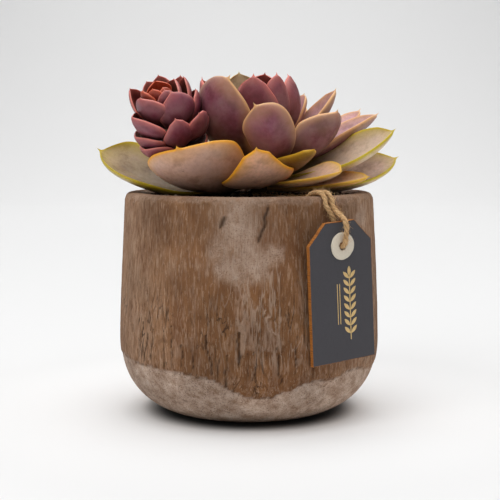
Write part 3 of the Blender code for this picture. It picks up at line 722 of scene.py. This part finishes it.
def buildLeafSkin():
    # waxy skin: the leaf's own tint, a pale bloom in soft patches, a fine mottle, small brown scars and
    # a warm rim
    white = (1, 1, 1, 1)
    inputs = [("tint", colour, white), ("rim", number, 0.0), ("glow", number, 0.0),
              ("rimColour", colour, white), ("bloom", number, 0.3), ("scars", number, 0.5)]
    outputs = [("skin", colour), ("rough", number), ("height", number)]
    tree, n, given, out = newGroup("waxySkin", inputs, outputs)
    at = n.coords()
    soft = n.noise(at, 105, 4, .6)
    fine = n.noise(at, 520, 5, .68)
    tiny = n.noise(at, 1500, 3, .6)
    tone = n.mix(n.remap(fine, .38, .72, 0, .22), given["tint"], (70, 38, 34))
    tone = n.mix(n.times(n.remap(soft, .38, .68), given["bloom"]), tone, (178, 150, 146))
    tone = n.mix(n.remap(soft, .52, .30, 0, .38), tone, (84, 36, 34))
    drift = n.noise(at, 38, 2, .5)
    tone = n.mix(n.times(n.remap(drift, .44, .64), given["bloom"]), tone, (140, 118, 76))
    warm = n.mix(given["glow"], tone, given["rimColour"])
    edge = n.times(given["rim"], n.remap(fine, .15, .50, .75, 1.0))
    edged = n.mix(edge, warm, given["rimColour"])
    cell = n.cells(at, 95)
    ragged = n.plus(cell, n.times(n.minus(tiny, .5), .12))
    scar = n.times(n.remap(ragged, .10, .03), n.remap(soft, .50, .58))
    scarred = n.mix(n.times(scar, given["scars"]), edged, (84, 50, 26))
    n.wire(scarred, out["skin"])
    n.wire(n.remap(fine, .3, .7, .36, .54), out["rough"])
    n.wire(n.plus(n.times(fine, .35), n.minus(soft, n.times(scar, .6))), out["height"])
    return tree


waxySkin = buildLeafSkin()


def leafMaterial(finish, look):
    # the shared skin group fed by the leaf's own tint, rim and glow, over a little subsurface light
    mat, n, shader = newMaterial("leaf" + finish.capitalize(), Specular_IOR_Level=0.42,
                                 Subsurface_Weight=.12, Subsurface_Radius=(.004, .0015, .001),
                                 Subsurface_Scale=.6)
    skin = useGroup(n, waxySkin, tint=n.field("tint", True), rim=n.field("rim"), glow=n.field("glow"),
                    rimColour=linear(*look["rim"]), bloom=look["bloom"], scars=look["scars"])
    n.surface(shader, skin["skin"], n.bump(skin["height"], 0.0005, .7), skin["rough"])
    return mat


leafFinishes = {key: leafMaterial(key, look) for key, look in leafLooks.items()}


def addLeaf(name, base, tip, up, row, finish, rows, sides, seed, node=None):
    # one leaf; it stands for its own body where it has one
    verts, t, k, toEdge = leafSurface(base, tip, up, row, rows, sides, seed)
    piece = makeMesh(name, verts, ringFaces(rows, sides), leafFinishes[finish],
                     fields=leafTints(finish, t, k, toEdge, seed))
    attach(piece, "root")
    if node:
        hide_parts(node)


def camel(name):
    first, *rest = name.split("_")
    return first + "".join(word.capitalize() for word in rest)


def buildRosette(prefix, leaves, extras, grid, centre, right, ahead, axis):
    # each leaf starts close to the axis at its azimuth; its tip is its reach and height from the centre
    for seed, (name, row) in enumerate({**leaves, **extras}.items(), grid["firstSeed"]):
        az, rise, reach, height, *row, finish = row
        a = math.radians(az)
        out = right * math.cos(a) + ahead * math.sin(a)
        near = max(grid["start"] - rise * grid["less"], grid["least"])
        node = prefix + name
        addLeaf(camel(node), centre + axis * rise + out * near, centre + axis * height + out * reach, axis,
                row, finish, grid["rows"], grid["sides"], seed, node=node if name in leaves else None)


def buildLeaves():
    # the main rosette stands upright; the side one leans, with right and ahead square to its own axis
    right, ahead, up = np.eye(3)
    centre = np.array([*plant["stemAt"], pot["rim"]])
    buildRosette("leaf_", mainLeaves, mainExtras, plant["main"], centre, right, ahead, up)
    axis = unit(np.array(plant["sideAxis"]))
    right = unit(right - axis * axis[0])
    ahead = np.cross(axis, right)
    centre = np.array(plant["sideAt"])
    buildRosette("side_leaf_", sideLeaves, sideExtras, plant["side"], centre, right, ahead, axis)


def tubeAlong(name, path, radius, mat, fields=None, uv=None):
    # rings square to the path, with a radius for each of their points, and a pole at each end
    ahead, side, lift = pathFrames(path)
    sides = radius.shape[1]
    a = (np.arange(sides) / sides * tau)[None, :, None]
    rings = path[:, None] + (side[:, None] * np.cos(a) + lift[:, None] * np.sin(a)) * radius[..., None]
    verts = np.concatenate([rings.reshape(-1, 3), path[:1], path[-1:]])
    return makeMesh(name, verts, ringFaces(len(path), sides), mat, fields=fields, uv=uv)


def buildStems():
    # two tubes with a little value noise on their girth; the bark is one noise stretched along the stem
    mat, n, shader = newMaterial("woodyStem", Roughness=0.8)
    grain = n.noise(n.coords((1, 1, .5)), 420, 4, .6)
    n.surface(shader, n.mix(grain, (70, 58, 30), (128, 104, 60)), n.bump(grain, 0.0008, .8))
    x, y = plant["stemAt"]
    top = pot["rim"]
    path = smoothPath([(x, y, 105), (x, y, 112), (x, y, top + 14), (x, y, top + 22), (x, y, top + 28),
                       (x, y, top + 33), (x, y, top + 35)], 8)
    rise = path[:, 2] - top
    girth = np.interp(rise, [-5, 8, 14, 22, 28, 33, 35], [5.6, 5.4, 5.4, 5.0, 3.8, 2.2, .8])
    sides = 40
    u = np.broadcast_to(np.arange(sides)[None] / sides, (len(path), sides))
    v = np.broadcast_to(((rise + 5) / 45)[:, None], u.shape)
    bumps = swell(.55, u, v, 41, 9, 14) + swell(.25, u, v, 42, 22, 40)
    piece = tubeAlong("mainStem", path, girth[:, None] + bumps, mat)
    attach(piece, "root")
    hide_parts("main_stem")
    centre, axis = np.array(plant["sideAt"]), unit(np.array(plant["sideAxis"]))
    path = smoothPath([(x - 5, y - .6, top + 13), (-14, -3, top + 13.5), (-26, -7, top + 15.5), centre,
                       centre + axis * 10, centre + axis * 28], 9)
    girth = np.linspace(3.2, 1.0, len(path))
    sides = 28
    u = np.broadcast_to(np.arange(sides)[None] / sides, (len(path), sides))
    v = np.broadcast_to((np.arange(len(path)) / len(path))[:, None], u.shape)
    piece = tubeAlong("sideStem", path, girth[:, None] + swell(.35, u, v, 43, 7, 24), mat)
    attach(piece, "root")
    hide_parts("side_stem")


tag = dict(turned=-59.0, out=68.4, along=8.4, height=66.1, lean=4.3, tilt=-2.0, wide=35.0, tall=66.0,
           thick=2.4, cutWide=9.3, cutTall=10.0, eyeAt=(0.8, 21.5), eyeOut=6.4, eyeIn=2.0, eyeThick=0.6,
           # points round the rim, ragged places on the cut edge and how deep they go, slack of the hole
           around=340, notches=160, notch=.22, slack=.6)


def tagFrame():
    # the tag's middle and its normal, right and up: turned about the pot's axis, then tilted, then leaned
    az, lean, tilt = (math.radians(tag[k]) for k in ("turned", "lean", "tilt"))
    out = np.array([math.cos(az), math.sin(az), 0])
    right = np.array([-math.sin(az), math.cos(az), 0])
    up = np.array([0, 0, 1.0])
    normal = out * math.cos(tilt) + up * math.sin(tilt)
    rise = up * math.cos(tilt) - out * math.sin(tilt)
    middle = out * tag["out"] + right * tag["along"] + up * tag["height"]
    return (middle, normal, right * math.cos(lean) + rise * math.sin(lean),
            rise * math.cos(lean) - right * math.sin(lean))


def onTag(points):
    # points given as right, up and out from the tag's middle, set in place
    middle, normal, right, up = tagFrame()
    return middle + points[..., :1] * right + points[..., 1:2] * up + points[..., 2:] * normal


def buildTagBoard():
    # rings round the eye hole, from the hole's wall out over the face, round the cut edge and back inside
    w, h = tag["wide"] / 2, tag["tall"] / 2
    corners = np.array([(-w, -h), (w, -h), (w, h - tag["cutTall"]), (w - tag["cutWide"], h),
                        (-w + tag["cutWide"], h), (-w, h - tag["cutTall"]), (-w, -h)])
    run = np.concatenate([[0], np.cumsum(np.linalg.norm(np.diff(corners, axis=0), axis=1))])
    at = np.unique(np.concatenate([np.linspace(0, run[-1], tag["around"])[:-1], run[:-1]]))
    rim = np.stack([np.interp(at, run, corners[:, i]) for i in (0, 1)], 1)
    rng = np.random.default_rng(8)
    notches = np.linspace(0, run[-1], tag["notches"])
    ragged = np.interp(at, notches, rng.uniform(0, tag["notch"], len(notches)))
    eye = np.array(tag["eyeAt"])
    ray = unit(rim - eye)
    hole = eye + ray * (tag["eyeIn"] + tag["slack"])
    t = tag["thick"] / 2
    # share of the way from the hole to the rim, inset at the rim, height, burnt mask
    steps = [(0, 0, -t * .9, 1), (0, 0, 0, 1), (0, 0, t * .9, 1), (.02, 0, t, 0)]
    steps += [(s, 0, t, 0) for s in (.1, .25, .4, .55, .7, .8, .9, .96)]
    steps += [(1, .5, t, 0), (1, .3, t, .2), (1, .16, t - .05, .8), (1, .05, t - .18, 1),
              (1, 0, t - .45, 1), (1, .04, t * .3, 1), (1, .1, 0, 1), (1, .04, -t * .3, 1),
              (1, 0, .45 - t, 1), (1, .05, .18 - t, 1), (1, .16, .05 - t, .8), (1, .3, -t, .2),
              (1, .5, -t, 0)]
    steps += [(s, 0, -t, 0) for s in (.96, .9, .8, .7, .55, .4, .25, .1)] + [(.02, 0, -t, 0)]
    rows, burnt = [], []
    for share, inset, z, mask in steps:
        flat = hole + (rim - hole) * share - ray * (inset + ragged[:, None] * (share == 1))
        rows.append(np.column_stack([flat, np.full(len(flat), z)]))
        burnt.append(np.full(len(flat), mask, float))
    flat = np.concatenate(rows)
    piece = makeMesh("tagPlate", onTag(flat), loopFaces(len(steps), len(at)), tagPaint(), smooth=False,
                     fields=dict(burnt=np.concatenate(burnt)), uv=flat[:, :2] / 100 + .5)
    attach(piece, "root")
    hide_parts("tag_board")
    return piece


def tagPaint():
    # dark paint with a faint streak, and a burnt brown edge where the mask says so
    mat, n, shader = newMaterial("tagPaint", Specular_IOR_Level=0.35)
    grain = n.noise(n.coords((3, .35, 1), "UV"), 60, 4, .6)
    fine = n.noise(n.coords(kind="UV"), 260, 4, .7)
    paint = n.mix(n.remap(fine, .3, .7), (66, 65, 70), (80, 78, 82))
    paint = n.mix(n.remap(grain, .5, .75, 0, .35), paint, (58, 56, 60))
    edge = n.mix(n.remap(fine, .3, .7), (112, 62, 22), (190, 118, 44))
    n.surface(shader, n.mix(n.field("burnt"), paint, edge), n.bump(fine, 0.0002, .6),
              n.remap(fine, .3, .7, .62, .8))
    return mat


def buildFoil():
    # a plain sprig and two fine rules in gold foil: flat lens shapes and bars a hair proud of the face
    face, lift = tag["thick"] / 2, .10
    outlines = []

    def lens(x, y, angle, length, width):
        # two mirrored arcs of a sine from end to end
        t = np.linspace(0, 1, 9)
        half = width / 2 * np.sin(t * math.pi) ** .8
        along = np.concatenate([t, t[-2:0:-1]]) * length
        off = np.concatenate([half, -half[-2:0:-1]])
        outlines.append(np.stack([x + along * math.cos(angle) - off * math.sin(angle),
                                  y + along * math.sin(angle) + off * math.cos(angle)], 1))

    def bar(x, low, high, width):
        outlines.append(np.array([(x - width / 2, low), (x + width / 2, low), (x + width / 2, high),
                                  (x - width / 2, high)]))
    stemX, low, high = 4.2, -23.0, 11.5
    bar(stemX, low, high - 3, .45)
    for y in np.linspace(low + 3, high - 5.5, 8):
        lens(stemX + .3, y, math.radians(48), 4.6, 1.7)
        lens(stemX - .3, y, math.radians(132), 4.6, 1.7)
    lens(stemX, high - 4.5, math.pi / 2, 4.8, 1.8)
    bar(-1.4, -15, 4, .35)
    bar(-2.7, -15, 4, .35)
    verts, faces = [], []
    for flat in outlines:
        start, count = len(verts), len(flat)
        verts += [(x, y, face - .05) for x, y in flat] + [(x, y, face + lift) for x, y in flat]
        faces.append([start + count + i for i in range(count)])
        faces.append([start + count - 1 - i for i in range(count)])
        faces += [[start + i, start + (i + 1) % count, start + count + (i + 1) % count, start + count + i]
                  for i in range(count)]
    mat, n, shader = newMaterial("goldFoil", Roughness=.42, Metallic=.55)
    fleck = n.noise(n.coords(), 1700, 3, .6)
    n.surface(shader, n.mix(fleck, (200, 162, 98), (240, 212, 156)), n.bump(fleck, 0.0001, .5))
    piece = makeMesh("tagFoil", onTag(np.array(verts)), faces, mat, smooth=False)
    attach(piece, "root")
    return piece


def buildEyelet():
    # a flanged ring turned about the hole, its faces a little domed and uneven
    t, thin, outer, bore = tag["thick"] / 2 + .12, tag["eyeThick"] + .18, tag["eyeOut"], tag["eyeIn"]
    profile = [(bore, t + thin * .7), (bore + .3, t + thin), (bore + 1.5, t + thin * 1.04),
               (outer - 1.6, t + thin), (outer - .5, t + thin * .9), (outer - .1, t + thin * .55),
               (outer, t + .1), (outer - .15, t), (bore + .55, t), (bore + .5, 0)]
    profile += [(r, -z) for r, z in profile[-2::-1]] + [(bore - .05, 0)]
    r, z = np.array(profile).T
    turn = np.arange(96) / 96
    wobble = 1 + .012 * np.sin(turn * tau * 3 + 1) + .006 * np.sin(turn * tau * 11)
    r = r[:, None] * (1 + (wobble[None] - 1) * (r[:, None] > outer - .8))
    z = z[:, None] + .05 * np.sin(turn * tau * 2 + .6)[None] * np.sign(z[:, None])
    x, y = tag["eyeAt"]
    local = np.stack([x + r * np.cos(turn * tau), y + r * np.sin(turn * tau), z], -1).reshape(-1, 3)
    mat, n, shader = newMaterial("creamCard", Specular_IOR_Level=0.3)
    fibre = n.noise(n.coords(), 1800, 4, .7, .8)
    n.surface(shader, n.mix(fibre, (206, 192, 170), (240, 232, 216)), n.bump(fibre, 0.0002, .6),
              n.remap(fibre, .3, .7, .7, .9))
    piece = makeMesh("tagRing", onTag(local), loopFaces(*r.shape), mat)
    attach(piece, "root")
    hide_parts("tag_eyelet")
    return piece


# lip: how far out and how far below the rim the curve over the rim has its middle, and its radius
twine = dict(radius=1.1, gap=.35, plies=3, lay=7.5, hairs=1200, lip=(57.8, 4, 5.6))


def twineKnots():
    # from behind the stem, over the rim, down through the ring, up behind the tag and back over the rim
    middle, normal, right, up = tagFrame()
    eye = middle + right * tag["eyeAt"][0] + up * tag["eyeAt"][1]
    rest = soil["top"] + twine["gap"] + twine["radius"]
    top = pot["rim"]

    def at(r, az, z):
        return np.array([r * math.cos(math.radians(az)), r * math.sin(math.radians(az)), z])

    def overRim(az):
        out, below, bend = twine["lip"]
        turns = np.radians([90, 58, 28, 0])
        lip = [(out + bend * math.cos(a), top - below + bend * math.sin(a)) for a in turns]
        return [at(r, az, z) for r, z in [(48, rest + .5), (52.6, top + 1)] + lip]
    x, y = plant["stemAt"]
    first = [(x - 4, y + 9.5, rest), (x + 5.5, y + 6.5, rest), (x + 8.3, y - 2, rest), at(24, -40, rest),
             at(40, -50, rest), *overRim(-52.5), at(65.8, -52.4, top - 6.6), at(70.2, -52.8, top - 8.9)]
    last = [*overRim(-56)[::-1], at(40, -56, rest), at(24, -56, rest),
            (x + 3, y - 10.5, rest), (x - 6, y - 6.5, rest), (x - 10.5, y + 1, rest)]
    bend = [(4.6, 11.6), (5.2, 7.6)]
    bend += [(4.4 * math.cos(a), 4 - 4.4 * math.sin(a)) for a in np.radians([0, 30, 60, 90, 120, 150, 180])]
    bend += [(-4.5, 7), (-5, 12)]
    through = [eye + normal * a + up * b for a, b in bend]
    return [tuple(v) for v in first + through + last]


def buildTwine():
    # a rope section of three lobes that turns along the path, so the plies wind round each other
    path = smoothPath(twineKnots(), 16)
    run = np.concatenate([[0], np.cumsum(np.linalg.norm(np.diff(path, axis=0), axis=1))])
    sides = 30
    a = (np.arange(sides) / sides)[None]
    twist = run[:, None] / twine["lay"]
    lobes = np.abs(np.cos((a + twist) * math.pi * twine["plies"]))
    loose = lattice(a + 0 * twist, run[:, None] / run[-1] + 0 * a, 51, 6, 160) - .5
    radius = twine["radius"] * (.80 + .24 * lobes ** .8 + .16 * loose)
    # painted shade: a mask that is high in the grooves between the plies
    ply = np.concatenate([(1 - lobes).reshape(-1), [0, 0]])
    uv = np.stack([(a + twist).reshape(-1), (run[:, None] / 7 + 0 * a).reshape(-1)], 1)
    uv = np.concatenate([uv, uv[:1], uv[-1:]])
    mat, n, shader = newMaterial("juteFibre", Specular_IOR_Level=0.3, Roughness=.85)
    strand = n.noise(n.coords((9, .6, 1), "UV"), 5, 5, .7, .4)
    mottle = n.noise(n.coords(), 300, 3, .6)
    tone = n.mix(n.remap(strand, .3, .7), (196, 144, 88), (250, 216, 166))
    tone = n.mix(n.remap(mottle, .5, .75, 0, .5), tone, (158, 106, 58))
    # painted shade: darker in the grooves between the plies
    tone = n.mix(n.times(n.field("ply"), .5), tone, (112, 72, 36))
    n.surface(shader, tone, n.bump(strand, 0.0005, .9))
    return tubeAlong("twineCord", path, radius, mat, fields=dict(ply=ply), uv=uv), path, run, mat


def buildFuzz(path, run, mat):
    # thin bent hairs that leave the cord at a slant: each a three-sided tube along a short curve
    rng = np.random.default_rng(77)
    count = twine["hairs"]
    where = rng.uniform(.5, run[-1] - .5, count)
    ahead, side, lift = pathFrames(path)
    pick = np.searchsorted(run, where).clip(1, len(run) - 1)
    turn = rng.uniform(0, tau, count)
    out = side[pick] * np.cos(turn)[:, None] + lift[pick] * np.sin(turn)[:, None]
    start = path[pick] + out * twine["radius"] * .8
    length = rng.uniform(1.0, 3.6, count) * rng.choice([1, 1, 1, 1.6], count)
    lean = ahead[pick] * rng.choice([-1, 1], count)[:, None]
    drift = unit(rng.normal(size=(count, 3)))
    points, sides = 5, 3
    each = points * sides
    steps = np.linspace(0, 1, points)[None, :, None]
    grow = lean * .85 + out * rng.uniform(.15, .6, (count, 1))
    curve = grow[:, None] * steps + drift[:, None] * steps ** 2 * .35
    line = start[:, None] + curve * length[:, None, None]
    tangent = unit(np.gradient(line, axis=1))
    across = unit(np.cross(tangent, drift[:, None] + .01))
    above = np.cross(tangent, across)
    thick = .085 * (1 - .7 * steps)
    ring = np.stack([across * math.cos(b) + above * math.sin(b) for b in (0, tau / 3, tau * 2 / 3)], 2)
    verts = (line[:, :, None] + ring * thick[..., None]).reshape(-1, 3)
    j = np.arange(sides)
    k = (j + 1) % sides
    quad = np.stack([j, k, k + sides, j + sides], 1)
    one = (quad[None] + (np.arange(points - 1) * sides)[:, None, None]).reshape(-1, 4)
    base = np.arange(count)[:, None] * each
    faces = (one[None] + base[:, None]).reshape(-1, 4).tolist()
    faces += (base + j[::-1]).tolist() + (base + each - sides + j).tolist()
    along = np.tile(np.repeat(np.arange(points) / points, sides), count)
    uv = np.stack([np.repeat(rng.random(count), each), along], 1)
    return makeMesh("twineFuzz", verts, faces, mat, fields=dict(ply=np.zeros(len(verts))), uv=uv)


addCamera()
cord, path, run, jute = buildTwine()
fuzz = buildFuzz(path, run, jute)
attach(cord, "root")
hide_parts("twine")
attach(fuzz, "root")
print("twine done, length in mm:", round(float(run[-1]), 1))
plate, ring, foil = buildTagBoard(), buildEyelet(), buildFoil()
print("tag done")
body = buildPot()
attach(body, "root")
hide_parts("pot")
bed, grit = buildSoil(), buildGrit()
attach(bed, "root")
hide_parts("soil")
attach(grit, "root")
print("pot and soil done")
buildStems()
buildLeaves()
print("plant done")

studio = dict(far=1.7, wallHigh=2.4, curve=.7,
              # place, aim, size and power of each lamp
              lamps=dict(softbox=((.05, .12, 1.2), (0, .05, .08), 1.5, 6.0),
                         wallWash=((0, 1.7, 1.4), (0, 2.4, .4), 1.0, 6.8),
                         front=((-.55, -.75, .80), (0, 0, .12), .7, 2.6)),
              # sky: how bright low down, how bright overhead, and between which heights it rises
              sky=(.15, 1.50, .45, .95), surround=.80,
              # floor: tone of the painted shadow under the foot, of the painted light ring close round it
              # and far off, and the radii in metres where the first change and the second one start and end
              paintedShadowTone=.10, close=.91, distant=.78, rings=(.041, .057, .075, .17))


def buildStudio():
    # one sheet: flat floor, a quarter circle, then an upright wall
    a = np.linspace(0, math.pi / 2, 24)
    far, curve = studio["far"], studio["curve"]
    metre = 1000
    y = np.concatenate([[-4], [-1], [0], [1], far + curve * np.sin(a), [far + curve]]) * metre
    z = np.concatenate([[0, 0, 0, 0], curve * (1 - np.cos(a)), [studio["wallHigh"]]]) * metre
    x = np.array([-4.0, 0, 4]) * metre
    verts = np.stack(np.broadcast_arrays(x[None], y[:, None], z[:, None]), -1).reshape(-1, 3)
    i, j = (np.arange(len(y) - 1) * 3)[:, None], np.arange(2)[None]
    faces = np.stack([i + j, i + j + 1, i + j + 4, i + j + 3], -1).reshape(-1, 4).tolist()
    mat, n, shader = newMaterial("paleSweep", Roughness=.95)
    # tone of the floor: a painted shadow, almost black, under the foot, a brighter ring of painted light
    # round it, darker far off
    reach = n.add("ShaderNodeVectorMath", operation="LENGTH")
    n.wire(n.coords(), reach.inputs[0])
    reach = reach.outputs["Value"]
    inner, edge, near, away = studio["rings"]
    tone = n.remap(reach, inner, edge, studio["paintedShadowTone"], studio["close"])
    tone = n.math("MINIMUM", tone, n.remap(reach, near, away, studio["close"], studio["distant"]))
    n.wire(tone, shader.inputs["Base Color"])
    floor = makeMesh("floor", verts, faces, mat)
    world = bpy.data.worlds.new("studio")
    scene.world = world
    world.use_nodes = True
    n = Nodes(world.node_tree)
    split = n.add("ShaderNodeSeparateXYZ")
    n.wire(n.coords(kind="Generated"), split.inputs[0])
    low, high, start, end = studio["sky"]
    sky = n.remap(split.outputs[2], start, end, low, high)
    seen = n.add("ShaderNodeLightPath").outputs["Is Camera Ray"]
    glow = n.plus(n.times(seen, studio["surround"]), n.times(n.minus(1.0, seen), sky))
    background = world.node_tree.nodes["Background"]
    background.inputs[0].default_value = (1, 1, 1, 1)
    n.wire(glow, background.inputs[1])
    for name, (place, target, size, power) in studio["lamps"].items():
        lamp = bpy.data.lights.new(name, "AREA")
        lamp.shape, lamp.size, lamp.energy = "SQUARE", size, power
        light = bpy.data.objects.new(name, lamp)
        light.location = place
        x, y, z = np.array(target) - np.array(place)
        light.rotation_euler = (math.atan2(math.hypot(x, y), -z), 0, math.atan2(-x, y))
        scene.collection.objects.link(light)


buildStudio()
print("studio done")
